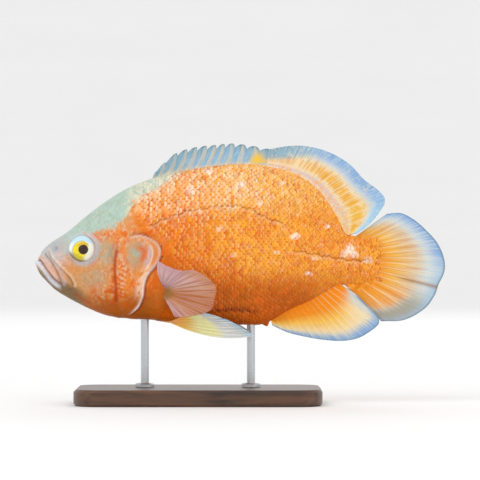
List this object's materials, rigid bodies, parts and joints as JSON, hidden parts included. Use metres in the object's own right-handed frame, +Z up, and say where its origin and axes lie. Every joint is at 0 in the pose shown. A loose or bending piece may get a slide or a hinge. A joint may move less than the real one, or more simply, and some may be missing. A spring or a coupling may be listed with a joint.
{
  "type": "oscar fish model",
  "caption": "Life-size still model of an oscar fish, side-on with all fins spread, held by short steel rods over a flat wooden base.",
  "frame": {"origin": "on the floor, at the middle of the model's length and of the base's width", "axes": "+Z up; the fish's head points to -X and its left flank faces -Y"},
  "size_m": [0.2499, 0.084, 0.1589],
  "materials": {
    "scaled_skin": "moist scaled skin, orange with pale and red-orange scale edges",
    "head_skin": "moist smooth skin, tan with grey-green and orange",
    "blue_fin": "wet fin membrane, golden at the base and blue at the margin",
    "orange_fin": "wet fin membrane, orange at the base and pale blue at the margin",
    "pale_fin": "thin wet fin membrane, lavender and salmon, slightly see-through",
    "eye": "clear cornea over a yellow iris and a dark pupil",
    "stand_wood": "satin varnished dark hardwood",
    "stand_steel": "brushed"
  },
  "bodies": {
    "root": {"head": "head_skin", "lower_jaw": "head_skin", "gill_cover_left": "head_skin", "gill_cover_right": "head_skin", "trunk": "scaled_skin", "tail_stalk": "scaled_skin", "dorsal_fin_spiny": "blue_fin", "dorsal_fin_soft": "blue_fin", "anal_fin": "orange_fin", "tail_fin": "orange_fin", "pectoral_fin_left": "pale_fin", "pectoral_fin_right": "pale_fin", "pelvic_fin_left": "orange_fin", "pelvic_fin_right": "orange_fin", "eye_left": "eye", "eye_right": "eye", "stand_base": "stand_wood", "stand_rod_front": "stand_steel", "stand_rod_rear": "stand_steel"}
  },
  "joints": []
}
